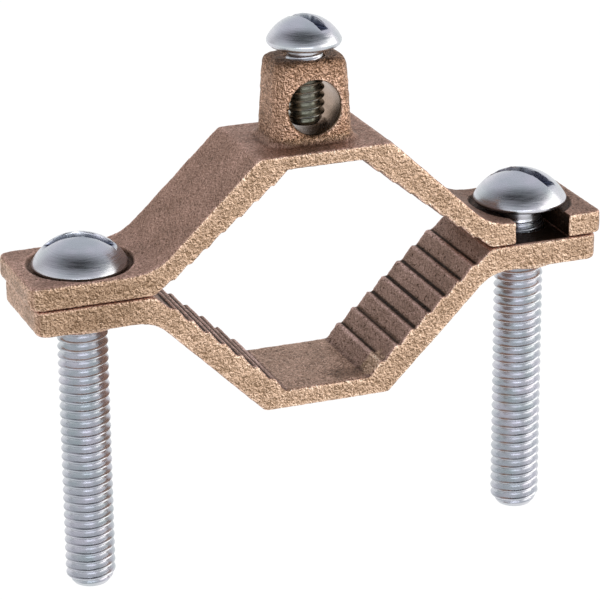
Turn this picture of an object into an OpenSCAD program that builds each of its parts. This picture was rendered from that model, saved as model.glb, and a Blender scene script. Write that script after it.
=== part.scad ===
// Grounding clamp for water pipe: two cast bronze jaws with toothed slopes, drawn together by two
// screws, and a lug with its own screw for the earth wire. The right ear of the upper jaw is slotted,
// so that the jaw swings round the left screw and the clamp goes over a pipe without being taken apart.
// X runs from screw to screw, Y is the pipe's axis and Z is up. Z = 0 is the parting plane.

/* [Clamp] */
// Distance between the axes of the two clamp screws
screw_spacing = 73; // [70:0.5:80]
// Width of both jaws, along the pipe
strap_w = 18.1; // [17.5:0.1:22]
// Gap between the closed jaws
jaw_gap = 0.16; // [0.1:0.02:0.4]
// Length of the pipe opening at the parting plane
opening_l = 55.4; // [52:0.2:56]

/* [Upper jaw] */
// Thickness of the upper ears
upper_ear_t = 3.65; // [3:0.05:6]
// Length of the upper ears past the screw axes
upper_reach = 10.4; // [9:0.1:14]
// Height of the upper flat's inner face above the parting plane
upper_rise = 17.2; // [14:0.2:22]
// Length of the upper flat's inner face
upper_flat_l = 12.4; // [10:0.2:14]
// Thickness of the upper flat
upper_wall = 2.2; // [2:0.05:5]
// Length of the upper flat's outer face
upper_shoulder_l = 21.6; // [18:0.2:22]
// Angle of the upper jaw's outer slopes
upper_slope = 43.2; // [42:0.1:46]
// Radius of the bend from the upper slopes into the ears
upper_bend_r = 9; // [4:0.5:11]

/* [Lower jaw] */
// Thickness of the lower ears
lower_ear_t = 4.1; // [3.5:0.1:6]
// Length of the lower ears past the screw axes
lower_reach = 9.6; // [8:0.1:14]
// Depth of the lower flat's inner face below the parting plane
lower_drop = 18.4; // [14:0.2:22]
// Length of the lower flat's inner face
lower_flat_l = 14.1; // [10:0.1:15]
// Thickness of the lower flat
lower_wall = 3; // [2.5:0.1:5]
// Length of the lower flat's outer face
lower_shoulder_l = 20.5; // [19:0.1:23]
// Angle of the lower jaw's outer slopes
lower_slope = 44.6; // [42:0.1:46]
// Radius of the bend from the lower slopes into the ears
lower_bend_r = 6.5; // [4:0.5:8]
// Wall of the round pads round the tapped holes
pad_wall = 2.2; // [1.5:0.1:3.5]
// Height of the round pads
pad_h = 1.5; // [0.8:0.1:3]

/* [Teeth] */
// Number of tooth faces on each slope
tooth_count = 8; // [5:1:10]
// Depth of the lower jaw's tooth ledges
lower_ledge = 0.78; // [0.3:0.02:0.9]
// Depth of the upper jaw's tooth ledges
upper_ledge = 0.46; // [0.3:0.02:0.9]
// Height by which each tooth's lip overhangs its ledge
tooth_lip = 0.12; // [0:0.02:0.2]

/* [Ear openings] */
// Clearance on each side of the right screw in its slot
slot_clearance = 0.65; // [0.55:0.05:1.2]
// Radius of the corners at the slot's closed end
slot_corner_r = 1; // [0.5:0.1:4]
// Distance of the slot's middle from the right screw's axis, towards the pipe
ear_slot_shift = 0.15; // [0:0.05:0.3]
// Clearance round each screw head in its shallow recess
recess_clearance = 0.65; // [0.3:0.05:0.9]
// Depth of the recess
recess_depth = 0.5; // [0.2:0.05:1]

/* [Clamp screws] */
// Diameter over the thread crests
screw_d = 7.8; // [7:0.1:8.2]
// Length under the head
screw_l = 52.4; // [44:0.1:70]
// Pitch of the thread, 18 turns to the inch
screw_pitch = 1.411; // [1.2:0.001:1.6]
// Plain length under the head
screw_neck = 2.3; // [1.4:0.1:4]
// Diameter of the head
head_d = 14.8; // [13:0.1:15.4]
// Height of the head
head_h = 5; // [4:0.1:6.5]
// Width of the driver slot
driver_slot_w = 2; // [1.4:0.1:2.6]
// Depth of the driver slot
driver_slot_depth = 2.1; // [1.2:0.1:3]
// Direction of the left screw's driver slot, from +X
left_slot_turn = -20; // [-90:1:90]
// Direction of the right screw's driver slot, from +X
right_slot_turn = -49; // [-90:1:90]

/* [Lug] */
// Height of the lug above the upper flat
lug_h = 12.8; // [12:0.1:20]
// Length of the lug along X at its base
lug_base_l = 13.3; // [12:0.1:15]
// Length of the lug along X at its top
lug_top_l = 11.9; // [11:0.1:13]
// Width of the lug along Y at its base
lug_base_w = 10.1; // [9:0.1:15]
// Width of the lug along Y at its top
lug_top_w = 8.9; // [8.5:0.1:13]
// Radius of the lug's upright corners
lug_corner_r = 2.6; // [1:0.1:4]
// Radius of the lug's top edge
lug_top_r = 1.2; // [0.4:0.1:2]
// Diameter of the wire hole
wire_hole_d = 8.5; // [6:0.1:9]
// Height of the wire hole's axis above the upper flat
wire_hole_z = 5.5; // [5:0.1:7]

/* [Wire screw] */
// Diameter over the thread crests
wire_screw_d = 6.15; // [5:0.05:6.5]
// Length under the head
wire_screw_l = 12.8; // [9:0.1:14]
// Pitch of the thread, 20 turns to the inch
wire_screw_pitch = 1.27; // [1:0.01:1.4]
// Plain length under the head
wire_screw_neck = 1.5; // [1:0.1:3]
// Diameter of the head
wire_head_d = 11.5; // [9.5:0.1:12]
// Height of the head
wire_head_h = 4.1; // [3:0.1:4.5]
// Width of the driver slot
wire_slot_w = 1.7; // [1.2:0.1:2.2]
// Depth of the driver slot
wire_slot_depth = 1.7; // [1:0.1:2.2]
// Direction of the driver slot, from +X
wire_slot_turn = -62; // [-90:1:90]
// Distance by which the wire screw is backed out of its lowest place
wire_screw_out = 0.23; // [0.1:0.01:3]

/* [Fits and edges] */
// Radial clearance of the screws in their round holes
hole_clearance = 0.1; // [0.04:0.02:0.2]
// Gap under the left screw's head
seat_gap = 0.02; // [0.01:0.01:0.05]
// Gap between the upper ear and the right screw's head, which stands clear of its recess
swing_gap = 0.46; // [0.4:0.02:0.6]
// Radius of the ears' upright corners
plan_corner_r = 1.9; // [0.5:0.1:4]
// Radius of the ears' end edges
end_r = 0.8; // [0.2:0.1:1.4]
// Radius of the outer corners at the flats
shoulder_r = 1.3; // [0.4:0.1:3]
// Radius of the corners where the slopes meet the parting plane
throat_r = 1.3; // [0.4:0.1:2]

/* [Hidden] */
$fn = 72;
bronze = [0.69, 0.54, 0.42];
zinc = [0.72, 0.74, 0.78];
screw_x = screw_spacing / 2;
half_gap = jaw_gap / 2;
bore_d = screw_d + 2 * hole_clearance;
pad_d = bore_d + 2 * pad_wall;
ear_slot_w = screw_d + 2 * slot_clearance;
recess_d = head_d + 2 * recess_clearance;
arc_steps = 8;
lip_steps = 2;
lip_r = 0.22;
past = 1;
upper_ear_z = half_gap + upper_ear_t;
upper_top_z = upper_rise + upper_wall;
lug_top_z = upper_top_z + lug_h;
wire_axis_z = upper_top_z + wire_hole_z;
left_head_z = upper_ear_z - recess_depth + seat_gap;
right_head_z = upper_ear_z + swing_gap;
lug_flare = 0.8;
lug_sink = 1;
lug_steps = 4;
thin = 0.01;
head_rim_h = 0.45;
head_edge = 0.2;
neck_relief = 0.35;
tip_chamfer = 0.25;
tip_land = 0.5;
// Parts of the pitch in a 60 degree thread: flat of the crest, run of one flank, depth
thread_crest = 0.125;
thread_flank = 0.354;
thread_depth = 0.6134;

// Radius of a thread's root, and of the flat that the screw ends in
function root_r(d, pitch) = d / 2 - thread_depth * pitch;
function tip_r(d, pitch) = root_r(d, pitch) - tip_chamfer;

// Lowest place of the wire screw's tip, where its edge meets the round floor of the wire hole
wire_tip_r = tip_r(wire_screw_d, wire_screw_pitch);
wire_floor_z = wire_axis_z - sqrt(wire_hole_d * wire_hole_d / 4 - wire_tip_r * wire_tip_r);
wire_head_z = max(lug_top_z, wire_floor_z + wire_screw_l) + wire_screw_out;

function unit(v) = v / norm(v);

// Arc of radius r that rounds corner q between its neighbours p and s
function corner_arc(p, q, s, r, steps) =
    r == 0 ? [q] :
    let (
        u = unit(p - q),
        v = unit(s - q),
        half = acos(u * v) / 2,
        centre = q + unit(u + v) * r / sin(half),
        start = q + u * r / tan(half) - centre,
        turn = u[0] * v[1] - u[1] * v[0] > 0 ? -1 : 1,
        first = atan2(start[1], start[0])
    )
    [for (i = [0:steps]) let (a = first + turn * (180 - 2 * half) * i / steps)
        centre + r * [cos(a), sin(a)]];

// Outline through corners given as [x, z, radius, steps], with every corner rounded
function rounded(corners) =
    let (n = len(corners), xy = [for (c = corners) [c[0], c[1]]])
    [for (i = [0:n - 1])
        each corner_arc(xy[(i + n - 1) % n], xy[i], xy[(i + 1) % n], corners[i][2], corners[i][3])];

// A half outline and its mirror image, joined on the plane X = 0
function mirrored(half) = concat(half, [
    for (i = [len(half) - 1:-1:0])
        [-half[i][0], half[i][1], half[i][2], half[i][3]]
]);

// Tooth corners from the parting plane to the flat: each root, then the lip that stands over it
function tooth_corners(throat, flat, ledge) =
    [for (i = [1:tooth_count - 1])
        let (root = throat + (flat - throat) * i / tooth_count)
        each [[root[0], root[1], 0, 0], [root[0] - ledge, root[1] - tooth_lip, lip_r, lip_steps]]];

// Half of a jaw's outline, with its flat upwards, from the middle of the inner flat round to the top
function jaw_half(rise, flat_l, wall, shoulder_l, slope, bend_r, ear_t, reach, ledge) =
    let (
        throat = [opening_l / 2, half_gap],
        flat = [flat_l / 2, rise],
        ear_z = half_gap + ear_t,
        end_x = screw_x + reach,
        top_z = rise + wall,
        bend_x = shoulder_l / 2 + (top_z - ear_z) / tan(slope),
        teeth = tooth_corners(throat, flat, ledge)
    )
    concat(
        [[flat[0], flat[1], 0, 0]],
        [for (i = [len(teeth) - 1:-1:0]) teeth[i]],
        [
            [throat[0], throat[1], throat_r, arc_steps / 2],
            [end_x, half_gap, end_r, arc_steps / 2],
            [end_x, ear_z, end_r, arc_steps / 2],
            [bend_x, ear_z, bend_r, arc_steps],
            [shoulder_l / 2, top_z, shoulder_r, arc_steps / 2]
        ]
    );

// A strap bent to a jaw outline, with its ears' upright corners rounded
module strap(half, end_x, height) {
    intersection() {
        rotate([90, 0, 0])
            linear_extrude(height = strap_w, center = true)
                polygon(rounded(mirrored(half)));
        linear_extrude(height = height)
            polygon(rounded([
                for (c = [[-1, -1], [1, -1], [1, 1], [-1, 1]])
                    [c[0] * end_x, c[1] * strap_w / 2, plan_corner_r, arc_steps]
            ]));
    }
}

// Rectangle of the lug at one height, with rounded corners
module lug_slice(l, w, z) {
    translate([0, 0, z])
        linear_extrude(height = thin)
            polygon(rounded([
                for (c = [[-1, -1], [1, -1], [1, 1], [-1, 1]])
                    [c[0] * l / 2, c[1] * w / 2, lug_corner_r * min(1, l / lug_base_l), arc_steps / 2]
            ]));
}

// Tapered lug with a rounded top edge and a flared foot
module lug_body() {
    hull() {
        lug_slice(lug_base_l, lug_base_w, upper_top_z - lug_sink);
        for (i = [0:lug_steps])
            let (a = 90 * i / lug_steps, inset = lug_top_r * (1 - cos(a)))
            lug_slice(lug_top_l - 2 * inset, lug_top_w - 2 * inset,
                lug_top_z - thin - lug_top_r * (1 - sin(a)));
    }
    hull() {
        lug_slice(lug_base_l + 2 * lug_flare, lug_base_w + 2 * lug_flare, upper_top_z - lug_sink);
        lug_slice(lug_base_l + 2 * lug_flare, lug_base_w + 2 * lug_flare, upper_top_z);
        lug_slice(lug_base_l, lug_base_w, upper_top_z + lug_flare);
    }
}

// Slot that the right screw leaves through, open to the front
module ear_slot() {
    half = ear_slot_w / 2;
    front = -strap_w / 2 - past;
    translate([screw_x - ear_slot_shift, 0, -past])
        linear_extrude(height = upper_ear_z + 2 * past)
            polygon(rounded([
                [-half, front, 0, 0],
                [half, front, 0, 0],
                [half, half, slot_corner_r, arc_steps],
                [-half, half, slot_corner_r, arc_steps]
            ]));
}

// Outline of a screw from the middle of its tip up the thread to the top of its domed head
function screw_outline(d, l, pitch, neck, cap_d, cap_h) =
    let (
        crest = d / 2,
        root = root_r(d, pitch),
        shank = crest - neck_relief,
        turns = floor((l - neck - tip_land) / pitch),
        first = -neck - turns * pitch,
        dome_h = cap_h - head_rim_h,
        dome_r = (cap_d * cap_d / 4 + dome_h * dome_h) / (2 * dome_h),
        span = asin(cap_d / 2 / dome_r)
    )
    concat(
        [[0, -l], [tip_r(d, pitch), -l], [root, -l + tip_chamfer]],
        [for (i = [0:turns - 1])
            let (z = first + i * pitch, top = i == 0 ? (root + crest) / 2 : crest)
            each [
                [root, z],
                [top, z + thread_flank * pitch],
                [top, z + (thread_flank + thread_crest) * pitch],
                [root, z + (2 * thread_flank + thread_crest) * pitch]
            ]],
        [
            [root, -neck],
            [shank, -neck + shank - root],
            [shank, 0],
            [cap_d / 2 - head_edge, 0],
            [cap_d / 2, head_edge]
        ],
        [for (i = [0:2 * arc_steps])
            let (a = span * (1 - i / (2 * arc_steps)))
            [dome_r * sin(a), cap_h - dome_r * (1 - cos(a))]]
    );

// Round-head screw with the underside of its head at Z = 0
module round_head_screw(d, l, pitch, neck, cap_d, cap_h, slot_w, slot_depth, slot_turn) {
    difference() {
        rotate_extrude()
            polygon(screw_outline(d, l, pitch, neck, cap_d, cap_h));
        rotate([0, 0, slot_turn])
            translate([-cap_d, -slot_w / 2, cap_h - slot_depth])
                cube([2 * cap_d, slot_w, slot_depth + past]);
    }
}

module lower_jaw() {
    end_x = screw_x + lower_reach;
    color(bronze)
        difference() {
            union() {
                mirror([0, 0, 1])
                    strap(jaw_half(lower_drop, lower_flat_l, lower_wall, lower_shoulder_l, lower_slope,
                        lower_bend_r, lower_ear_t, lower_reach, lower_ledge), end_x, lower_drop + lower_wall);
                for (side = [-1, 1])
                    translate([side * screw_x, 0, -half_gap - lower_ear_t - pad_h])
                        cylinder(d = pad_d, h = pad_h + lower_ear_t / 2);
            }
            for (side = [-1, 1])
                translate([side * screw_x, 0, -half_gap - lower_ear_t - pad_h - past])
                    cylinder(d = bore_d, h = lower_ear_t + pad_h + 2 * past);
        }
}

module upper_jaw() {
    end_x = screw_x + upper_reach;
    color(bronze)
        difference() {
            union() {
                strap(jaw_half(upper_rise, upper_flat_l, upper_wall, upper_shoulder_l, upper_slope,
                    upper_bend_r, upper_ear_t, upper_reach, upper_ledge), end_x, upper_top_z);
                lug_body();
            }
            translate([-screw_x, 0, -past])
                cylinder(d = bore_d, h = upper_ear_t + 2 * past);
            ear_slot();
            for (side = [-1, 1])
                translate([side * screw_x, 0, upper_ear_z - recess_depth])
                    cylinder(d = recess_d, h = head_h + past);
            translate([0, 0, wire_axis_z])
                rotate([90, 0, 0])
                    cylinder(d = wire_hole_d, h = strap_w, center = true);
            translate([0, 0, wire_axis_z])
                cylinder(d = wire_screw_d + 2 * hole_clearance, h = lug_h);
        }
}

module left_clamp_screw() {
    color(zinc)
        translate([-screw_x, 0, left_head_z])
            round_head_screw(screw_d, screw_l, screw_pitch, screw_neck, head_d, head_h,
                driver_slot_w, driver_slot_depth, left_slot_turn);
}

module right_clamp_screw() {
    color(zinc)
        translate([screw_x, 0, right_head_z])
            round_head_screw(screw_d, screw_l, screw_pitch, screw_neck, head_d, head_h,
                driver_slot_w, driver_slot_depth, right_slot_turn);
}

module wire_screw() {
    color(zinc)
        translate([0, 0, wire_head_z])
            round_head_screw(wire_screw_d, wire_screw_l, wire_screw_pitch, wire_screw_neck,
                wire_head_d, wire_head_h, wire_slot_w, wire_slot_depth, wire_slot_turn);
}

lower_jaw();
upper_jaw();
left_clamp_screw();
right_clamp_screw();
wire_screw();
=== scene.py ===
"""Looks for a cast bronze pipe clamp: sand-cast skins over the two jaws, and three screws with cut threads.

The castings keep the frame's own shape, softened as a casting's corners are, with the grain of the
mould on their skins. The screws get a true right-hand thread in place of the frame's rings.
"""

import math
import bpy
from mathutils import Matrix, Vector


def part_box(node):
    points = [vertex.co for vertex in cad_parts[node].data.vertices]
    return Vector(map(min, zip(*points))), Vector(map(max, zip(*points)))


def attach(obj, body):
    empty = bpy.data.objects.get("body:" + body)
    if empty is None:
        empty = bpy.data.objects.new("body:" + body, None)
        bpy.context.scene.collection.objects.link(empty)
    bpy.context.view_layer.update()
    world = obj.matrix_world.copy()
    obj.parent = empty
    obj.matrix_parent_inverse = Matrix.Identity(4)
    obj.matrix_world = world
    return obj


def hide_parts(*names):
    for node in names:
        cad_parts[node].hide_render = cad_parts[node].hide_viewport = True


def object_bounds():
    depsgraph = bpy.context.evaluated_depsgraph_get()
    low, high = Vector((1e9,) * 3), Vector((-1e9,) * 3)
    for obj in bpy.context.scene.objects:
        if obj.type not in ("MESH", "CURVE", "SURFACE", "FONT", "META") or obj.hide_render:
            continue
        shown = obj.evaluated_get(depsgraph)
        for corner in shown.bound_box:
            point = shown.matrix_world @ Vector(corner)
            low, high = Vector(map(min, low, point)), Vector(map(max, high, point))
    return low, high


bl_info = {
    "name": "Pipe Ground Clamp",
    "version": (1, 0, 0),
    "blender": (4, 5, 0),
    "location": "View3D > Sidebar > Clamp",
    "description": "Dresses a cast bronze pipe clamp and its three zinc-plated screws",
    "category": "Object",
}

from functools import partial

import bmesh
import bpy
import numpy as np
from mathutils import Matrix, Vector

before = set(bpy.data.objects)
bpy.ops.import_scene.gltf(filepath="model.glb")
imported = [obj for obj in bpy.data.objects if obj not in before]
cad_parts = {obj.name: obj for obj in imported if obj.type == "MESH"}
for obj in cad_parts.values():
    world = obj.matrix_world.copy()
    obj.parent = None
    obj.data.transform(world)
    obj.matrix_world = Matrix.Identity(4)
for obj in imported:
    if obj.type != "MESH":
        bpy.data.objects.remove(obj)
CAD_BOX = [list(corner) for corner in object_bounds()]
MM = 0.001


def linear(hex_colour):
    """An sRGB hex colour as the linear RGBA that Blender's sockets and properties hold."""
    channels = [int(hex_colour[i : i + 2], 16) / 255 for i in (1, 3, 5)]
    return tuple(c / 12.92 if c <= 0.04045 else ((c + 0.055) / 1.055) ** 2.4 for c in channels) + (1.0,)


def node(tree, kind, *values, inputs=None, out=0, **settings):
    """Adds one node and returns its output `out`, or all its outputs for None. Settings are its own fields.
    Values go to its first inputs, and `inputs` to those named or numbered; a socket given there is linked."""
    made = tree.nodes.new(kind)
    for name, value in settings.items():
        setattr(made, name, value)
    for key, value in [*enumerate(values), *(inputs or {}).items()]:
        if isinstance(value, bpy.types.NodeSocket):
            tree.links.new(value, made.inputs[key])
        else:
            made.inputs[key].default_value = value
    return made.outputs if out is None else made.outputs[out]


MATH = "ShaderNodeMath"


def new_material(name):
    """An empty material, and the function that adds a node to it."""
    material = bpy.data.materials.new(name)
    material.use_nodes = True
    material.node_tree.nodes.clear()
    return material, partial(node, material.node_tree)


# ---------------------------------------------------------------- sizes and colours


def colour_property(name, description, hex_colour):
    return bpy.props.FloatVectorProperty(
        name=name, description=description, subtype="COLOR", size=4, min=0, max=1, default=linear(hex_colour)
    )


def length_property(name, description, millimetres):
    return bpy.props.FloatProperty(
        name=name, description=description, default=millimetres * MM, min=0, unit="LENGTH", precision=5
    )


def angle_property(name, description, degrees):
    return bpy.props.FloatProperty(
        name=name, description=description, subtype="ANGLE", default=math.radians(degrees)
    )


class CastingLook(bpy.types.PropertyGroup):
    skin_step: length_property("Skin step", "Size of the facets that the casting's skin is built from", 0.25)
    swell_depth: length_property("Swell depth", "Depth of the mould's slow unevenness", 0.05)
    swell_size: length_property("Swell size", "Width of one slow swell of the skin", 2.2)
    grain_depth: length_property("Grain depth", "Depth of the sand's grain in the skin", 0.05)
    grain_size: length_property("Grain size", "Width of one clump of the moulding sand", 0.85)
    edge_passes: bpy.props.IntProperty(
        name="Edge passes", description="Smoothing passes that round the casting's corners", default=4, min=0
    )
    # the side colour is partly painted light: a brighter, more golden, lit copy of the outer bronze
    side_lit_colour: colour_property("Side colour", "Bright cast bronze of the straps' side faces", "#CFB096")
    outer_colour: colour_property("Outer colour", "Duller bronze of the straps' outer faces", "#BC9886")
    tooth_colour: colour_property("Tooth colour", "Dark scale left on the toothed slopes", "#B09385")
    lug_colour: colour_property("Lug colour", "Browner bronze of the lug", "#B6937B")
    bore_colour: colour_property("Bore colour", "Fresh metal of the drilled holes", "#C9B09E")


class ScrewLook(bpy.types.PropertyGroup):
    thread_round: bpy.props.IntProperty(
        name="Thread facets", description="Facets round one turn of a thread", default=56, min=12
    )
    thread_rows: bpy.props.IntProperty(
        name="Thread rows", description="Facets across one thread, from root to root", default=10, min=4
    )
    edge_radius: length_property("Edge radius", "Radius that the plating leaves on a slot's edges", 0.2)
    burr: length_property("Burr", "Height of the burrs along the driver slots", 0.11)
    zinc_colour: colour_property("Zinc colour", "Bright zinc plate on steel", "#D2D2D9")
    film_colour: colour_property("Film colour", "Greenish film from the plating bath", "#C3C9CD")
    # painted shade at the bottom of a driver slot
    slot_shade_colour: colour_property("Slot colour", "Zinc at the bottom of a driver slot", "#636A80")
    # painted shade, tinted olive, on the wire screw's thread inside its hole
    hole_shade_colour: colour_property("Oil colour", "Olive cutting oil left on the wire screw's thread", "#8A8872")


class StageLook(bpy.types.PropertyGroup):
    azimuth: angle_property("Azimuth", "Camera's turn round the clamp", -21.158)
    elevation: angle_property("Elevation", "Camera's height angle", 20.925)
    roll: angle_property("Roll", "Camera's roll", -0.47)
    distance: length_property("Distance", "Camera's distance from the point it looks at", 467.5)
    lens: bpy.props.FloatProperty(
        name="Lens", description="Focal length on a 36 mm sensor", default=180.8, min=1, unit="CAMERA"
    )
    aim_right: bpy.props.FloatProperty(
        name="Aim right", description="Aim's offset to the right", default=-0.921 * MM, unit="LENGTH"
    )
    aim_up: bpy.props.FloatProperty(
        name="Aim up", description="Aim's offset up the picture", default=-7.206 * MM, unit="LENGTH"
    )
    floor_drop: length_property("Floor drop", "How far the floor lies under the clamp", 30)
    floor_colour: colour_property("Floor colour", "Matt white table paper", "#F4F4F4")


# ---------------------------------------------------------------- materials


def bronze_material(look):
    """Cast bronze, sand moulded: brown metal whose side faces glitter with crooked clumps of sand and are
    painted brighter and more golden, partly as a lit copy of the outer bronze, while the outer faces are
    duller and finer, the teeth carry dark scale and the drilled holes are clean. Shade is painted into
    hollows, slots, recesses and under the teeth's lips, and light onto edges and the clumps' flanks."""
    material, add = new_material("sand_cast_bronze")
    place = add("ShaderNodeTexCoord", out="Object")
    side, tooth, lug, bore, crease_shade_edge_light, shade_and_stain = [
        add("ShaderNodeAttribute", attribute_name=name, out="Fac")
        for name in ("side", "tooth", "lug", "bore", "crease_shade_edge_light", "shade_and_stain")
    ]
    # crooked clumps of sand 0.52 mm wide, the same clumps 0.17 mm further on for the painted relief light,
    # single grains of
    # 0.3 mm, and slow stains 6 mm wide; each row has its place, width in mm, detail and distortion
    slip = add("ShaderNodeVectorMath", place, (0.1 * MM, -0.05 * MM, 0.13 * MM), operation="ADD")
    clump, beside, single, stain = [
        add(
            "ShaderNodeTexNoise",
            spot,
            inputs={"Scale": 1 / (width * MM), "Detail": detail, "Roughness": 0.6, "Distortion": crook},
        )
        for spot, width, detail, crook in (
            (place, 0.52, 2.5, 1.0),
            (slip, 0.52, 2.5, 1.0),
            (place, 0.3, 1.0, 0.6),
            (place, 6.0, 3.0, 0.0),
        )
    ]
    # painted light and shade on the clumps: the clumps minus the same clumps shifted, so one flank of each is
    # painted brighter and the other darker, as if lit from one side
    painted_relief_light = add(MATH, clump, beside, operation="SUBTRACT")
    # pits 0.3 mm wide that lie about 1.3 mm apart
    cells = add("ShaderNodeTexVoronoi", place, inputs={"Scale": 1 / (1.3 * MM)})
    pits = add("ShaderNodeValToRGB", cells)
    stops = pits.node.color_ramp.elements
    stops.new(0.5)
    for stop, (reach, value) in zip(stops, ((0.0, 1.0), (0.1, 0.8), (0.2, 0.0))):
        stop.position = reach
        stop.color = (value, value, value, 1)
    pitted = add(MATH, pits, tooth, operation="MULTIPLY")
    # painted shadow in the corner under each tooth's lip
    ledge_shadow = add(MATH, crease_shade_edge_light, tooth, operation="MULTIPLY")

    # the side faces are painted brighter and more golden, partly as a lit copy of the outer bronze
    colour = look.outer_colour[:]
    for mask, paint_colour in (
        (side, look.side_lit_colour),
        (tooth, look.tooth_colour),
        (lug, look.lug_colour),
        (bore, look.bore_colour),
    ):
        colour = add("ShaderNodeMix", mask, inputs={6: colour, 7: paint_colour[:]}, out=2, data_type="RGBA")
    # single clumps lighter and darker than the rest: random grain tone whose bright clumps also stand in for
    # glints, so partly painted glints; more so on the side faces and the lug
    grain = add("ShaderNodeMix", 0.4, inputs={2: clump, 3: single}, data_type="FLOAT")
    coarse = add(MATH, side, lug, operation="MAXIMUM")
    glitter = add("ShaderNodeMapRange", coarse, 0.0, 1.0, 2.2, 2.6)
    glitter = add("ShaderNodeMix", bore, inputs={2: glitter, 3: 0.8}, data_type="FLOAT")
    # how strongly the painted light and shade on the clumps' flanks shows: most on the side faces and the
    # lug, little in the holes
    relief_light_gain = [
        add("ShaderNodeMapRange", mask, 0.0, 1.0, least, most)
        for mask, least, most in ((side, 2.0, 3.4), (lug, 0.0, 2.6))
    ]
    relief_light_gain = add(MATH, *relief_light_gain, operation="ADD")
    relief_light_gain = add("ShaderNodeMix", bore, inputs={2: relief_light_gain, 3: 0.3}, data_type="FLOAT")
    grain_and_painted_light = add(MATH, add(MATH, grain, 0.5, operation="SUBTRACT"), glitter, 1.0, operation="MULTIPLY_ADD")
    grain_and_painted_light = add(MATH, painted_relief_light, relief_light_gain, grain_and_painted_light, operation="MULTIPLY_ADD")
    shade = add(MATH, add(MATH, grain_and_painted_light, 0.4, operation="MAXIMUM"), 2.0, operation="MINIMUM")
    # what lightens or darkens the metal: random stains, painted shade in hollows with painted light on edges,
    # painted shade in slots, recesses and holes with one real stain, real pits, and painted shadow under the
    # teeth's lips; each has its lowest and highest value, and the shade at each of them
    for mask, low, high, at_low, at_high in (
        (stain, 0.35, 0.65, 0.84, 1.12),
        (crease_shade_edge_light, -1.0, 1.0, 1.35, 0.25),
        (shade_and_stain, 0.0, 1.0, 1.0, 0.1),
        (pitted, 0.0, 1.0, 1.0, 0.15),
        (ledge_shadow, 0.35, 0.95, 1.0, 0.28),
    ):
        change = add("ShaderNodeMapRange", mask, low, high, at_low, at_high)
        shade = add(MATH, shade, change, operation="MULTIPLY")
    # bronze in shadow is redder than bronze in light, so green and blue fall faster than red
    green, blue = [add(MATH, shade, power, operation="POWER") for power in (1.1, 1.25)]
    tint = add("ShaderNodeCombineXYZ", shade, green, blue)
    colour = add("ShaderNodeVectorMath", colour, tint, operation="MULTIPLY")

    rough = add("ShaderNodeMapRange", side, 0.0, 1.0, 0.52, 0.4)
    rough = add("ShaderNodeMix", tooth, inputs={2: rough, 3: 0.6}, data_type="FLOAT")
    rough = add("ShaderNodeMix", bore, inputs={2: rough, 3: 0.26}, data_type="FLOAT")
    height = add(MATH, pitted, -0.6, grain, operation="MULTIPLY_ADD")
    strength = add("ShaderNodeMapRange", coarse, 0.0, 1.0, 0.5, 1.0)
    strength = add("ShaderNodeMix", bore, inputs={2: strength, 3: 0.08}, data_type="FLOAT")
    bump = add("ShaderNodeBump", inputs={"Height": height, "Strength": strength, "Distance": 0.4 * MM})
    surface = add(
        "ShaderNodeBsdfPrincipled",
        inputs={"Base Color": colour, "Metallic": 1.0, "Roughness": rough, "Normal": bump},
    )
    add("ShaderNodeOutputMaterial", surface, out=None)
    return material


def zinc_material(name, look, axis_x):
    """Zinc-plated steel, turned and tumbled: blue-grey metal with fine rings from the tool round the
    screw's own axis and a faint green film from the plating bath, with painted shade in the driver slots and
    on the wire screw's thread inside its hole."""
    material, add = new_material(name)
    place = add("ShaderNodeTexCoord", out="Object")
    slot, oil = [add("ShaderNodeAttribute", attribute_name=mask, out="Fac") for mask in ("slot", "oil")]
    own = add("ShaderNodeMapping", place, inputs={"Location": (-axis_x, 0, 0)}, vector_type="POINT")
    x, y, z = add("ShaderNodeSeparateXYZ", own, out=None)
    flat = add("ShaderNodeCombineXYZ", x, y)
    reach = add("ShaderNodeVectorMath", flat, out="Value", operation="LENGTH")
    # tool rings 0.15 mm apart, drawn out along the turning so that they read as scratches
    turned = [
        add(MATH, value, 1 / (width * MM), operation="MULTIPLY")
        for value, width in ((reach, 0.15), (x, 3), (z, 0.5))
    ]
    turned = add("ShaderNodeCombineXYZ", *turned)
    rings = add("ShaderNodeTexNoise", turned, inputs={"Scale": 1.0, "Detail": 2.0, "Roughness": 0.6})
    film = add("ShaderNodeTexNoise", place, inputs={"Scale": 1 / (3.5 * MM), "Detail": 2.0})
    film = add("ShaderNodeMapRange", film, 0.35, 0.65)
    colour = look.zinc_colour[:]
    # random film tone, then painted shade in the driver slot and painted shade on the thread inside the wire
    # hole
    for mask, paint_colour in ((film, look.film_colour), (slot, look.slot_shade_colour), (oil, look.hole_shade_colour)):
        colour = add("ShaderNodeMix", mask, inputs={6: colour, 7: paint_colour[:]}, out=2, data_type="RGBA")
    rough = add("ShaderNodeMapRange", rings, 0.3, 0.7, 0.2, 0.36)
    bump = add("ShaderNodeBump", inputs={"Height": rings, "Strength": 0.4, "Distance": 0.03 * MM})
    surface = add(
        "ShaderNodeBsdfPrincipled",
        inputs={"Base Color": colour, "Metallic": 1.0, "Roughness": rough, "Normal": bump},
    )
    add("ShaderNodeOutputMaterial", surface, out=None)
    return material


def paper_material(look):
    """Matt white table paper, white to the camera and in the metal, that still takes the clamp's shadow."""
    material, add = new_material("table_paper")
    rays = add("ShaderNodeLightPath", out=None)
    seen = add(MATH, rays["Is Camera Ray"], rays["Is Glossy Ray"], operation="MAXIMUM")
    seen = add(MATH, seen, rays["Is Transmission Ray"], operation="MAXIMUM")
    share = add(MATH, seen, 0.9, operation="MULTIPLY")
    paper = add("ShaderNodeBsdfDiffuse", look.floor_colour[:])
    white = add("ShaderNodeEmission", (1, 1, 1, 1), 1.08)
    add("ShaderNodeOutputMaterial", add("ShaderNodeMixShader", share, paper, white), out=None)
    return material


# ---------------------------------------------------------------- geometry nodes


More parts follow.
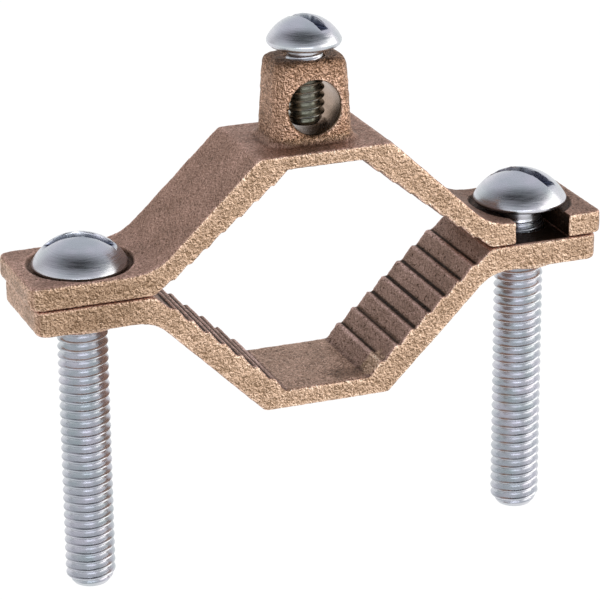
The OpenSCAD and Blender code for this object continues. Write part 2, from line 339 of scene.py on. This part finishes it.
def new_tree(name, **sockets):
    """A geometry tree with a mesh input and output, and inputs whose names are given by socket type."""
    tree = bpy.data.node_groups.new(name, "GeometryNodeTree")
    tree.interface.new_socket("Geometry", in_out="INPUT", socket_type="NodeSocketGeometry")
    for kind, labels in sockets.items():
        for label in labels:
            tree.interface.new_socket(label, in_out="INPUT", socket_type=kind)
    tree.interface.new_socket("Geometry", in_out="OUTPUT", socket_type="NodeSocketGeometry")
    return tree, node(tree, "NodeGroupInput", out=None), partial(node, tree)


def end_tree(add, shape, material):
    """Ends a geometry tree: its shape is shaded smooth, made real and given its material."""
    smooth = add("GeometryNodeSetShadeSmooth", shape)
    real = add("GeometryNodeRealizeInstances", smooth)
    add("NodeGroupOutput", add("GeometryNodeSetMaterial", real, inputs={"Material": material}), out=None)


def run_tree(piece, tree, values):
    """Runs a geometry tree on a piece with named inputs and keeps the result as a plain mesh."""
    modifier = piece.modifiers.new(tree.name, "NODES")
    modifier.node_group = tree
    for item in tree.interface.items_tree:
        if item.in_out == "INPUT" and item.name in values:
            modifier[item.identifier] = values[item.name]
    plain(piece)


def plain(piece):
    """Applies a piece's modifiers to its mesh."""
    graph = bpy.context.evaluated_depsgraph_get()
    made = bpy.data.meshes.new_from_object(piece.evaluated_get(graph), depsgraph=graph)
    piece.modifiers.clear()
    old, piece.data = piece.data, made
    bpy.data.meshes.remove(old)


# half of a rolled thread's section as (part of the pitch, part of the depth), from the root to the crest:
# a rounded root, a flank at 60 degrees to the next one, and a rounded crest
THREAD_HALF = [(0, 0), (0.07, 0.05), (0.17, 0.3), (0.36, 0.82), (0.43, 0.96), (0.5, 1)]


def thread_tree():
    """A shank with a right-hand thread, its head end at Z = 0 and its tip at -Length."""
    tree, given, add = new_tree(
        "right_hand_thread",
        NodeSocketFloat=("Diameter", "Pitch", "Depth", "Length", "Neck", "Neck Radius", "Tip Radius"),
        NodeSocketInt=("Facets", "Rows"),
        NodeSocketMaterial=("Material",),
    )
    radius = add(MATH, given["Diameter"], 0.5, operation="MULTIPLY")
    turns = add(MATH, add(MATH, given["Length"], given["Pitch"], operation="DIVIDE"), operation="CEIL")
    rows = add(MATH, add(MATH, turns, 2.0, operation="ADD"), given["Rows"], operation="MULTIPLY")
    across, down = [add(MATH, count, 1.0, operation="ADD") for count in (given["Facets"], rows)]
    grid = add("GeometryNodeMeshGrid", 1.0, 1.0, across, down)
    flat = add("ShaderNodeSeparateXYZ", add("GeometryNodeInputPosition"), out=None)
    around, along = [add(MATH, flat[axis], 0.5, operation="ADD") for axis in "XY"]
    row = add(MATH, add(MATH, along, rows, operation="MULTIPLY"), operation="ROUND")
    turn = add(MATH, row, given["Rows"], operation="DIVIDE")
    # one turn starts below the tip and one ends above the head, and both are pressed flat onto the ends
    wound = add(MATH, add(MATH, turn, around, operation="ADD"), 1.0, operation="SUBTRACT")
    risen = add(MATH, wound, given["Pitch"], operation="MULTIPLY")
    raw = add(MATH, risen, given["Length"], operation="SUBTRACT")
    tip = add(MATH, given["Length"], -1.0, operation="MULTIPLY")
    height = add(MATH, add(MATH, raw, tip, operation="MAXIMUM"), 0.0, operation="MINIMUM")
    phase = add(MATH, add(MATH, turn, 1e-4, operation="ADD"), operation="FRACT")
    section = add("ShaderNodeFloatCurve", inputs={"Value": phase})
    mapping = section.node.mapping
    points = mapping.curves[0].points
    outline = THREAD_HALF + [(1 - x, y) for x, y in reversed(THREAD_HALF[:-1])]
    points[0].location, points[1].location = outline[0], outline[-1]
    for place in outline[1:-1]:
        points.new(*place)
    mapping.update()
    sunk = add(MATH, given["Depth"], add(MATH, 1.0, section, operation="SUBTRACT"), operation="MULTIPLY")
    cut = add(MATH, radius, sunk, operation="SUBTRACT")
    # the thread runs out under the head over one pitch, and rises from the tip over 1.5 mm
    below = add(MATH, height, given["Neck"], operation="ADD")
    start = add(MATH, given["Pitch"], -1.0, operation="MULTIPLY")
    run_out = add("ShaderNodeMapRange", below, start, 0.0, 0.0, 1.0, interpolation_type="SMOOTHSTEP")
    cut = add("ShaderNodeMix", run_out, inputs={2: cut, 3: given["Neck Radius"]}, data_type="FLOAT")
    rise = add(MATH, add(MATH, height, given["Length"], operation="ADD"), 0.75, operation="MULTIPLY")
    cut = add(MATH, cut, add(MATH, given["Tip Radius"], rise, operation="ADD"), operation="MINIMUM")
    angle = add(MATH, around, 2 * math.pi, operation="MULTIPLY")
    waves = [add(MATH, angle, operation=wave) for wave in ("COSINE", "SINE")]
    ring = [add(MATH, cut, wave, operation="MULTIPLY") for wave in waves]
    spot = add("ShaderNodeCombineXYZ", *ring, height)
    parts = [add("GeometryNodeSetPosition", grid, inputs={"Position": spot})]
    for place, size in ((tip, "Tip Radius"), (0.0, "Neck Radius")):
        disc = add("GeometryNodeMeshCircle", given["Facets"], given[size], fill_type="NGON")
        if place is tip:
            disc = add("GeometryNodeFlipFaces", disc)
        lift = add("ShaderNodeCombineXYZ", inputs={"Z": place})
        parts.append(add("GeometryNodeTransform", disc, inputs={"Translation": lift}))
    joined = add("GeometryNodeJoinGeometry")
    for part in parts:
        tree.links.new(part, joined.node.inputs[0])
    end_tree(add, add("GeometryNodeMergeByDistance", joined, inputs={"Distance": 2e-6}), given["Material"])
    return tree


def skin_tree():
    """The mould's unevenness and the sand's grain, pushed along the casting's own normals."""
    tree, given, add = new_tree(
        "sand_cast_skin",
        NodeSocketFloat=("Swell Depth", "Swell Size", "Grain Depth", "Grain Size", "Seed"),
        NodeSocketMaterial=("Material",),
    )
    place = add("GeometryNodeInputPosition")
    sand = add("GeometryNodeInputNamedAttribute", "sand", out="Attribute", data_type="FLOAT")
    push = 0.0
    for layer, detail in (("Swell", 2.0), ("Grain", 1.0)):
        scale = add(MATH, 1.0, given[layer + " Size"], operation="DIVIDE")
        noise = add(
            "ShaderNodeTexNoise",
            inputs={"Vector": place, "W": given["Seed"], "Scale": scale, "Detail": detail, "Roughness": 0.5},
            noise_dimensions="4D",
        )
        # noise strays about 0.17 from its middle, so three times that spreads over the depth
        uneven = add(MATH, add(MATH, noise, 0.5, operation="SUBTRACT"), 3.0, operation="MULTIPLY")
        part = add(MATH, uneven, given[layer + " Depth"], operation="MULTIPLY")
        push = add(MATH, push, part, operation="ADD")
    push = add(MATH, push, sand, operation="MULTIPLY")
    normal = add("GeometryNodeInputNormal")
    offset = add("ShaderNodeVectorMath", normal, inputs={"Scale": push}, operation="SCALE")
    moved = add("GeometryNodeSetPosition", given["Geometry"], inputs={"Offset": offset})
    end_tree(add, moved, given["Material"])
    return tree


# ---------------------------------------------------------------- castings

# half the gap between the closed jaws, the lug's foot and holes, and the screws' holes, in mm
PARTING_GAP = 0.08
LUG_FOOT = 19.4
WIRE_AXIS = 24.9
WIRE_HOLE = 8.5
SCREW_X = 36.5
SCREW_HOLE = 8.0
LUG_HOLE = 6.35
# how far from its true radius a point of the skin still counts as a drilled wall
WALL, WIRE_WALL = 0.35, 0.45
# the ear's slot: half its width, and its closed end in y
SLOT_HALF, SLOT_END = 4.75, 4.4
# the recesses round the heads: their reach from a screw's axis, their floor, and the ear's top
RECESS_REACH, RECESS_FLOOR, EAR_TOP = 8.3, 2.9, 4.6
# where the ears' end faces begin in x, and how far the grease on the lower ear reaches to the front
EAR_END, GREASE_FRONT = 43.5, -8.6
# patches in the lower jaw's flat, rubbed bright and stained: middle in x and y, then reach in x and y
RUBBED, STAINED = (8.4, -6.9, 1.9, 2.3), (4.6, -5.8, 3.2, 2.4)
# where the toothed slopes meet the parting plane, and where they meet each jaw's inner flat
THROAT = (27.7, 0.08)
FLATS = {"lower_jaw": (7.05, 18.4), "upper_jaw": (6.2, 17.2)}


def new_piece(name, mesh):
    piece = bpy.data.objects.new(name, mesh)
    bpy.context.scene.collection.objects.link(piece)
    return piece


def step_up(value, low, high):
    """0 below low, 1 above high and a smooth rise between them."""
    t = np.clip((value - low) / (high - low), 0, 1)
    return t * t * (3 - 2 * t)


def mesh_arrays(mesh):
    """Places and normals of a mesh's points in millimetres, and its edges."""
    count = len(mesh.vertices)
    spots, normals = np.empty(count * 3), np.empty(count * 3)
    mesh.vertices.foreach_get("co", spots)
    mesh.vertex_normals.foreach_get("vector", normals)
    edges = np.empty(len(mesh.edges) * 2, int)
    mesh.edges.foreach_get("vertices", edges)
    return spots.reshape(-1, 3) / MM, normals.reshape(-1, 3), edges.reshape(-1, 2)


def neighbour_mean(values, edges):
    """Mean of each point's neighbours."""
    total, count = np.zeros_like(values), np.zeros(len(values))
    for a, b in ((0, 1), (1, 0)):
        np.add.at(total, edges[:, a], values[edges[:, b]])
        np.add.at(count, edges[:, a], 1)
    return total / np.maximum(count, 1).reshape((-1,) + (1,) * (values.ndim - 1))


def paint(mesh, name, values):
    mesh.attributes.new(name, "FLOAT", "POINT").data.foreach_set("value", values.astype(np.float32))


def slope_band(x, depth, flat):
    """1 on the toothed band of a slope and 0 off it, from the line that runs through the teeth's roots."""
    run, rise = flat[0] - THROAT[0], flat[1] - THROAT[1]
    away = np.abs((np.abs(x) - THROAT[0]) * rise - (depth - THROAT[1]) * run) / math.hypot(run, rise)
    inside = (np.abs(x) > flat[0] - 0.6) & (np.abs(x) < THROAT[0] - 0.4) & (depth > 0)
    return (1 - step_up(away, 1.0, 1.5)) * inside


def soften(mesh, passes, band_of):
    """Rounds a casting's corners, and its teeth only a little, so that the ledges stay crisp."""
    spots, _, edges = mesh_arrays(mesh)
    give = 0.5 * (1 - 0.72 * band_of(spots))[:, None]
    for _ in range(passes):
        spots = spots + give * (neighbour_mean(spots, edges) - spots)
    mesh.vertices.foreach_set("co", (spots * MM).ravel())
    mesh.update()


def casting_masks(mesh, upper, flat, band_of):
    """Where a casting's faces differ: sides painted partly as lit, teeth, lug, drilled holes, painted shade
    in hollows with painted light on edges, painted shade with one real stain, and bare sand.
    """
    spots, normals, edges = mesh_arrays(mesh)
    x, y, z = spots.T
    soft = normals
    for _ in range(3):
        soft = 0.5 * soft + 0.5 * neighbour_mean(soft, edges)
    to_end, to_side, up = np.abs(soft[:, 0]), np.abs(soft[:, 1]), soft[:, 2]
    # painted shade in hollows and painted light on convex edges, by how far each point sinks below or stands
    # above its neighbours
    crease_shade_edge_light = -(normals * (spots - neighbour_mean(spots, edges))).sum(1)
    crease_shade_edge_light = 0.5 * crease_shade_edge_light + 0.5 * neighbour_mean(crease_shade_edge_light, edges)
    # the side faces get the brighter colour, partly painted as lit by the light in front; the inner flats,
    # the ears' end faces and the lower jaw's rubbed patches share it
    side = step_up(to_side, 0.5, 0.85)
    depth, inward = (z, -up) if upper else (-z, up)
    tooth = band_of(spots) * (1 - side)
    inner_flat = (np.abs(x) < flat[0] + 0.5) * (np.abs(depth - flat[1]) < 0.7) * step_up(inward, 0.4, 0.8)
    side = np.maximum(side, 0.45 * inner_flat)
    side = np.maximum(side, 0.6 * step_up(to_end, 0.6, 0.9) * (np.abs(x) > EAR_END))
    # the lower jaw's patches have crooked edges
    crooked = 0.14 * np.sin(3 * x + 2.2 * y) + 0.08 * np.sin(7 * y - 4 * x)
    rubbed, stained = [
        (not upper) * (inward > 0.4) * (1 - step_up(reach + crooked, 0.8, 1.0))
        for reach in (np.hypot((x - cx) / wide, (y - cy) / deep) for cx, cy, wide, deep in (RUBBED, STAINED))
    ]
    side = np.maximum(side, rubbed)
    tooth *= 1 - rubbed
    # the corner between slope and flat gets less of the painted shade than the corners under the teeth
    crease_shade_edge_light *= 1 - 0.75 * (np.abs(np.abs(x) - flat[0]) < 0.7) * (np.abs(depth - flat[1]) < 1.2)
    bore = np.zeros(len(x))
    for cx in (-SCREW_X, SCREW_X):
        on_wall = np.abs(np.hypot(x - cx, y) - SCREW_HOLE / 2) < WALL
        bore = np.maximum(bore, on_wall * (np.abs(up) < 0.6))
    lug, shade_and_stain = np.zeros(len(x)), np.zeros(len(x))
    if upper:
        bore *= x < 0
        lug = step_up(z, LUG_FOOT + 0.2, LUG_FOOT + 1.6)
        wire = np.abs(np.hypot(x, z - WIRE_AXIS) - WIRE_HOLE / 2) < WIRE_WALL
        tapped = (np.abs(np.hypot(x, y) - LUG_HOLE / 2) < WALL) & (z > WIRE_AXIS)
        bore = np.maximum(bore, (wire & (to_side < 0.5)) | (tapped & (np.abs(up) < 0.5)))
        # painted shade under the wire screw's head, in the corner at the lug's foot and on the left low in
        # its hole
        shade_and_stain = 0.55 * step_up(z, LUG_FOOT + 9.5, LUG_FOOT + 13.0) * (1 - bore)
        foot = (1 - step_up(np.abs(z - LUG_FOOT - 0.3), 0.3, 1.2)) * (np.hypot(x / 8.2, y / 6.6) < 1)
        shade_and_stain = np.maximum(shade_and_stain, 0.3 * foot)
        shade_and_stain = np.maximum(shade_and_stain, wire * step_up(-x - 0.9 * (z - WIRE_AXIS), 0.5, 4.5) * 0.7)
    bore = bore.astype(float)
    near_hole = np.minimum(np.hypot(x - SCREW_X, y), np.hypot(x + SCREW_X, y))
    # painted shade in the ear's slot, on the lower ear under it, and in the recesses round the heads
    in_slot = (np.abs(x - SCREW_X + 0.15) < SLOT_HALF) & (y < SLOT_END)
    if upper:
        in_slot &= to_side < 0.6
        recess = (near_hole < RECESS_REACH) & (z < EAR_TOP) & (z > RECESS_FLOOR) & (near_hole > 4.3)
        shade_and_stain = np.maximum(shade_and_stain, np.where(x < 0, 0.62, 0.85) * recess)
    else:
        in_slot &= (z > -PARTING_GAP - 0.4) & (up > 0.5) & (y > GREASE_FRONT)
    # the painted shade joined with the real stain on the lower jaw's flat
    shade_and_stain = np.maximum(np.maximum(shade_and_stain, in_slot), 0.45 * stained)
    # painted shade: the side faces darker towards the left end, where less light falls; and the upper jaw
    # darker on top at the right
    shade_and_stain = np.maximum(shade_and_stain, 0.3 * step_up(-x, 20, 33) * side * (to_side > 0.5))
    shade_and_stain = np.maximum(shade_and_stain, 0.28 * step_up(x, 12, 30) * (up > 0.6) * (1 - side) * upper)
    # the skin is smooth in drilled holes, at the parting plane and under the heads, and coarse on the lug
    seam = step_up(depth, PARTING_GAP + 0.1, PARTING_GAP + 0.5)
    sand = (1 - bore) * (0.25 + 0.75 * seam) * (0.3 + 0.7 * step_up(near_hole, 4.8, 6.0)) * (1 + 0.7 * lug)
    # a hollow 0.026 mm deep counts in full, and one of 0.012 mm among the teeth
    crease_shade_edge_light = np.clip(crease_shade_edge_light / (0.026 - 0.014 * tooth), -1, 1)
    for name, values in (
        ("side", side),
        ("tooth", tooth),
        ("lug", lug),
        ("bore", bore),
        ("crease_shade_edge_light", crease_shade_edge_light),
        ("shade_and_stain", shade_and_stain),
        ("sand", sand),
    ):
        paint(mesh, name, values)


def casting(cad_node, body, seed, look, material, tree):
    """One jaw: the frame's own shape with a casting's soft corners and sandy skin."""
    made = bmesh.new()
    made.from_mesh(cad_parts[cad_node].data)
    bmesh.ops.remove_doubles(made, verts=made.verts, dist=1e-6)
    mesh = bpy.data.meshes.new(cad_node + "_skin")
    made.to_mesh(mesh)
    made.free()
    piece = new_piece(cad_node + "_casting", mesh)
    remesh = piece.modifiers.new("skin", "REMESH")
    remesh.mode = "VOXEL"
    remesh.voxel_size = look.skin_step
    remesh.adaptivity = 0
    plain(piece)
    upper, flat = cad_node == "upper_jaw", FLATS[cad_node]

    def band_of(spots):
        return slope_band(spots[:, 0], spots[:, 2] if upper else -spots[:, 2], flat)

    soften(piece.data, look.edge_passes, band_of)
    casting_masks(piece.data, upper, flat, band_of)
    run_tree(
        piece,
        tree,
        {
            "Swell Depth": look.swell_depth,
            "Swell Size": look.swell_size,
            "Grain Depth": look.grain_depth,
            "Grain Size": look.grain_size,
            "Seed": float(seed),
            "Material": material,
        },
    )
    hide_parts(cad_node)
    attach(piece, body)
    return piece


# ---------------------------------------------------------------- screws

# name of the frame's node: its body, thread, head and driver slot, in mm, the slot's turn in degrees, the
# seed of its burrs, how far the head bulges under its rim, and the painted shade on its thread inside the
# wire hole;
# the frame gives its place and width
CLAMP_SCREW = dict(
    d=7.8, pitch=1.411, length=52.4, neck=2.3, head_h=5.0, slot_w=2.0, slot_depth=2.1, oil=0.0
)
SCREWS = {
    "left_clamp_screw": dict(CLAMP_SCREW, body="left_screw", slot_turn=-20, seed=3, belly=0.1),
    "right_clamp_screw": dict(CLAMP_SCREW, body="right_screw", slot_turn=-49, seed=8, belly=0.3),
    "wire_screw": dict(
        body="wire_screw", d=6.15, pitch=1.27, length=12.8, neck=1.5, head_h=4.1,
        slot_w=1.7, slot_depth=1.7, slot_turn=-62, seed=5, belly=0.55, oil=0.7,
    ),
}
for cad_node, size in SCREWS.items():
    low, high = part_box(cad_node)
    size["x"] = (low[0] + high[0]) / 2 / MM
    size["head_d"] = (high[0] - low[0]) / MM
    size["under"] = low[2] / MM + size["length"]
HEAD_RIM = 0.45
NECK_RELIEF = 0.35
# depth of the external thread over its pitch
THREAD_DEPTH = 0.6134


def slot_section(slot_w, edge):
    """Points across the driver slot as (place, drop from the dome, height over the slot's floor): a rounded
    edge, the wall and the floor. A drop of None means that the height counts, from the slot's floor."""
    corner = 0.15
    half = [
        (-(slot_w / 2 + edge * (1 - math.sin(a))), edge * (1 - math.cos(a)), None)
        for a in np.radians([0, 25, 50, 72, 90])
    ]
    half += [
        (-slot_w / 2, None, corner),
        (-slot_w / 2 + 0.3 * corner, None, 0.3 * corner),
        (-slot_w / 2 + corner, None, 0.0),
    ]
    return half + [(0.0, None, 0.0)] + [(-place, drop, lift) for place, drop, lift in reversed(half)]


def round_head(made, size, edge, burr):
    """A domed head with its driver slot, on lines that run along the slot, in millimetres over the head's
    underside. Each line is cut at the dome's own exit from the slot, so that the slot ends cleanly."""
    radius, tall, rim = size["head_d"] / 2, size["head_h"], HEAD_RIM
    dome = tall - rim
    ball = (radius**2 + dome**2) / (2 * dome)
    middle = tall - ball
    floor = tall - size["slot_depth"]
    way_out = math.sqrt(ball**2 - (floor - middle) ** 2)
    chance = np.random.default_rng(size["seed"])
    section = slot_section(size["slot_w"], edge)
    edge_at = abs(section[0][0])
    outer = [radius * math.cos(a) for a in np.linspace(0, math.acos(edge_at / radius), 15)[:-1]]
    lines = [(-t, 0.0, None) for t in outer[1:]] + section + [(t, 0.0, None) for t in reversed(outer[1:])]
    # places along a line: 0 to 1 lies inside the slot's ends, 1 to 2 between them and the head's rim
    steps = [*np.linspace(0, 1, 9), *(1 + np.linspace(0, 1, 7)[1:])]
    steps = [-s for s in reversed(steps[1:])] + steps
    slot_shade_layer = made.verts.layers.float.new("slot")
    grid = []
    for across, drop, lift in lines:
        near = min(abs(across), size["slot_w"] / 2)
        inner = math.sqrt(way_out**2 - near**2) / math.sqrt(radius**2 - near**2)
        end = math.sqrt(max(radius**2 - across**2, 0))
        row = []
        for s in steps:
            share = abs(s) * inner if abs(s) <= 1 else inner + (abs(s) - 1) * (1 - inner)
            along = math.copysign(share * end, s)
            top = middle + math.sqrt(max(ball**2 - along**2 - across**2, 0))
            # deep marks the slot's walls and floor, which get the painted shade
            deep = 0.0
            if drop is None:
                high = min(top, floor + lift)
                deep = 1.0 if top - high > 0.05 else 0.0
            else:
                high = top - min(drop, max(0, top - floor))
                if 0 < drop and abs(s) < 1.02:
                    high += burr * max(0, chance.normal()) * min(1, drop / edge + 0.3) * (top > floor)
            vert = made.verts.new((along, across, high))
            vert[slot_shade_layer] = deep
            row.append(vert)
        grid.append(row)
    for low, high in zip(grid, grid[1:]):
        for i in range(len(steps) - 1):
            made.faces.new((low[i], low[i + 1], high[i + 1], high[i]))
    # the two ends across the slot, where the lines shrink to a point
    for row, step in ((grid[0], 1), (grid[-1], -1)):
        tip = made.verts.new((0, -step * radius, rim))
        for i in range(len(steps) - 1):
            made.faces.new((tip, row[i + 1], row[i])[::step])
    bmesh.ops.remove_doubles(made, verts=made.verts, dist=1e-4)
    # rim, rounded belly and the face that the shank grows from, built in order round the head
    edge_verts = [v for v in made.verts if any(e.is_boundary for e in v.link_edges)]
    loop = sorted(edge_verts, key=lambda v: math.atan2(v.co.y, v.co.x))
    belly, round_r = size["belly"], 0.25 + 1.2 * size["belly"]
    for turn in np.radians([0, 18, 36, 54, 72, 90]):
        shrink, high = round_r * (1 - math.cos(turn)), (rim * 0.8 + belly) * (1 - math.sin(turn)) - belly
        lower = [made.verts.new((*(v.co.xy.normalized() * (radius - shrink)), high)) for v in loop]
        for i in range(len(loop)):
            made.faces.new((loop[i - 1], loop[i], lower[i], lower[i - 1]))
        loop = lower
    made.faces.new(loop)
    bmesh.ops.recalc_face_normals(made, faces=made.faces)


def screw(cad_node, size, look, material, tree):
    """One screw: a right-hand threaded shank and a round head with a driver slot."""
    shank = new_piece(cad_node + "_shank", bpy.data.meshes.new(cad_node + "_shank"))
    root = size["d"] / 2 - THREAD_DEPTH * size["pitch"]
    run_tree(
        shank,
        tree,
        {
            "Diameter": size["d"],
            "Pitch": size["pitch"],
            "Depth": THREAD_DEPTH * size["pitch"],
            "Length": size["length"],
            "Neck": size["neck"],
            "Neck Radius": size["d"] / 2 - NECK_RELIEF,
            "Tip Radius": root - 0.25,
            "Facets": look.thread_round,
            "Rows": look.thread_rows,
            "Material": material,
        },
    )
    made = bmesh.new()
    round_head(made, size, look.edge_radius / MM, look.burr / MM)
    bmesh.ops.rotate(made, verts=made.verts, matrix=Matrix.Rotation(math.radians(size["slot_turn"]), 3, "Z"))
    made.from_mesh(shank.data)
    bmesh.ops.scale(made, verts=made.verts, vec=(MM, MM, MM))
    bmesh.ops.translate(made, verts=made.verts, vec=(size["x"] * MM, 0, size["under"] * MM))
    # painted shade on the thread from 1.5 mm below the neck down, where it sits in the wire hole
    hole_shade_layer = made.verts.layers.float.new("oil")
    for vert in made.verts:
        below = size["under"] - vert.co.z / MM - size["neck"]
        vert[hole_shade_layer] = size["oil"] * min(1, max(0, (below - 1.5) / 2))
    for face in made.faces:
        face.smooth = True
        face.material_index = 0
    mesh = bpy.data.meshes.new(cad_node + "_turned")
    made.to_mesh(mesh)
    made.free()
    mesh.set_sharp_from_angle(angle=math.radians(48))
    mesh.materials.append(material)
    bpy.data.objects.remove(shank)
    piece = new_piece(cad_node + "_turned", mesh)
    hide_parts(cad_node)
    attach(piece, size["body"])
    return piece


# ---------------------------------------------------------------- stage


def aim(obj, spot, target, roll=0.0):
    """Places a camera or a lamp at a spot, looking at a target."""
    back = (spot - target).normalized()
    right = Vector((0, 0, 1)).cross(back).normalized()
    up = back.cross(right)
    tilted = math.cos(roll) * right + math.sin(roll) * up
    up = -math.sin(roll) * right + math.cos(roll) * up
    turn = Matrix((tilted, up, back)).transposed()
    obj.matrix_world = Matrix.Translation(spot) @ turn.to_4x4()


def make_camera(look):
    data = bpy.data.cameras.new("camera")
    camera = bpy.data.objects.new("camera", data)
    bpy.context.scene.collection.objects.link(camera)
    data.sensor_fit = "HORIZONTAL"
    data.sensor_width = 36
    data.lens = look.lens
    data.clip_start, data.clip_end = 0.01, 20
    az, el = look.azimuth, look.elevation
    back = Vector((math.sin(az) * math.cos(el), -math.cos(az) * math.cos(el), math.sin(el)))
    right = Vector((math.cos(az), math.sin(az), 0))
    target = look.aim_right * right + look.aim_up * back.cross(right)
    aim(camera, target + look.distance * back, target, look.roll)
    bpy.context.scene.camera = camera


# the room's dark arch: its middle's azimuth and elevation in degrees, and how far it reaches to the side
# and up, as parts of the distance to it
ARCH_AZ, ARCH_EL = -25, 64
ARCH_REACH = 1.3, 0.56
# the two soft boxes, aimed at the clamp: name, place and size in metres, watts and colour
LAMPS = (
    ("key", (0.65, -0.3, 0.2), (0.9, 0.5), 2.2, "#FFF8F0"),
    ("fill", (-0.3, -0.9, 0.15), (0.9, 0.3), 2.0, "#F4F6FF"),
)


def make_world():
    """Soft studio light: a white horizon, a cooler grey ceiling, and the darker room behind the camera
    that gives the screws' heads their dark reflection."""
    world = bpy.data.worlds.new("studio")
    bpy.context.scene.world = world
    world.use_nodes = True
    world.node_tree.nodes.clear()
    add = partial(node, world.node_tree)
    way = add("ShaderNodeTexCoord", out="Generated")
    parts = add("ShaderNodeSeparateXYZ", way, out=None)
    lift = add("ShaderNodeMapRange", parts["Z"], 0.1, 0.75, interpolation_type="SMOOTHSTEP")
    ends = {6: linear("#FFFFFF"), 7: linear("#D8D9E2")}
    sky = add("ShaderNodeMix", lift, inputs=ends, out=2, data_type="RGBA")
    # the room's dark arch, 64 degrees up on the camera's side: darkest over about 38 by 16 degrees, gone 34
    # degrees above and below, and fading along its arms, which bend back over the clamp. A domed head
    # mirrors it as a wide dark smudge above its rim. Its twin lies under the floor, where nothing sees it.
    az, el = math.radians(ARCH_AZ), math.radians(ARCH_EL)
    across = Vector((math.cos(az), math.sin(az), 0))
    upward = Vector((-math.sin(el) * math.sin(az), math.sin(el) * math.cos(az), math.cos(el)))
    aside, above = [
        add("ShaderNodeVectorMath", way, axis, out="Value", operation="DOT_PRODUCT")
        for axis in (across, upward)
    ]
    squared = add(MATH, add(MATH, aside, operation="ABSOLUTE"), 2.0, operation="POWER")
    above = add(MATH, above, add(MATH, squared, 0.5, operation="MULTIPLY"), operation="SUBTRACT")
    away = [
        add(MATH, value, 1 / reach, operation="MULTIPLY")
        for value, reach in ((aside, ARCH_REACH[0]), (above, ARCH_REACH[1]))
    ]
    away = add("ShaderNodeVectorMath", add("ShaderNodeCombineXYZ", *away), out="Value", operation="LENGTH")
    dim = add("ShaderNodeMapRange", away, 0.25, 1.0, 0.04, 1.0, interpolation_type="SMOOTHSTEP")
    add("ShaderNodeOutputWorld", add("ShaderNodeBackground", sky, dim), out=None)


def make_lamp(name, spot, size, watts, colour):
    data = bpy.data.lights.new(name, "AREA")
    data.shape = "RECTANGLE"
    data.size, data.size_y = size
    data.energy = watts
    data.color = linear(colour)[:3]
    lamp = bpy.data.objects.new(name, data)
    bpy.context.scene.collection.objects.link(lamp)
    aim(lamp, Vector(spot), Vector((0, 0, 0)))


def make_floor(look):
    level = CAD_BOX[0][2] - look.floor_drop
    half = 3.0
    corners = [(x * half, y * half, level) for x, y in ((-1, -1), (1, -1), (1, 1), (-1, 1))]
    mesh = bpy.data.meshes.new("floor")
    mesh.from_pydata(corners, [], [(0, 1, 2, 3)])
    mesh.materials.append(paper_material(look))
    floor = new_piece("floor", mesh)


# ---------------------------------------------------------------- operators


class CLAMP_OT_castings(bpy.types.Operator):
    """Makes the skins of the two cast bronze jaws"""

    bl_idname = "clamp.castings"
    bl_label = "Castings"

    def execute(self, context):
        look = context.scene.clamp_casting
        material, tree = bronze_material(look), skin_tree()
        casting("lower_jaw", "lower_jaw", 11, look, material, tree)
        casting("upper_jaw", "upper_jaw", 4, look, material, tree)
        return {"FINISHED"}


class CLAMP_OT_screws(bpy.types.Operator):
    """Makes the two clamp screws and the wire screw"""

    bl_idname = "clamp.screws"
    bl_label = "Screws"

    def execute(self, context):
        look = context.scene.clamp_screw
        tree = thread_tree()
        for cad_node, size in SCREWS.items():
            material = zinc_material("zinc_plate_" + size["body"], look, size["x"] * MM)
            screw(cad_node, size, look, material, tree)
        return {"FINISHED"}


class CLAMP_OT_stage(bpy.types.Operator):
    """Makes the camera, the lights and the floor"""

    bl_idname = "clamp.stage"
    bl_label = "Stage"

    def execute(self, context):
        look = context.scene.clamp_stage
        make_camera(look)
        make_world()
        make_floor(look)
        for lamp in LAMPS:
            make_lamp(*lamp)
        context.scene.view_settings.view_transform = "Standard"
        return {"FINISHED"}


class CLAMP_PT_panel(bpy.types.Panel):
    bl_label = "Pipe Clamp"
    bl_idname = "CLAMP_PT_panel"
    bl_space_type = "VIEW_3D"
    bl_region_type = "UI"
    bl_category = "Clamp"

    def draw(self, context):
        for group, operator in (
            (context.scene.clamp_casting, CLAMP_OT_castings),
            (context.scene.clamp_screw, CLAMP_OT_screws),
            (context.scene.clamp_stage, CLAMP_OT_stage),
        ):
            box = self.layout.box()
            for name in group.bl_rna.properties.keys():
                if name not in ("rna_type", "name"):
                    box.prop(group, name)
            box.operator(operator.bl_idname)


CLASSES = (
    CastingLook,
    ScrewLook,
    StageLook,
    CLAMP_OT_castings,
    CLAMP_OT_screws,
    CLAMP_OT_stage,
    CLAMP_PT_panel,
)


def register():
    for kind in CLASSES:
        bpy.utils.register_class(kind)
    bpy.types.Scene.clamp_casting = bpy.props.PointerProperty(type=CastingLook)
    bpy.types.Scene.clamp_screw = bpy.props.PointerProperty(type=ScrewLook)
    bpy.types.Scene.clamp_stage = bpy.props.PointerProperty(type=StageLook)


def unregister():
    del bpy.types.Scene.clamp_stage, bpy.types.Scene.clamp_screw, bpy.types.Scene.clamp_casting
    for kind in reversed(CLASSES):
        bpy.utils.unregister_class(kind)


def main():
    register()
    bpy.ops.clamp.stage()
    bpy.ops.clamp.castings()
    bpy.ops.clamp.screws()


if __name__ == "__main__":
    main()
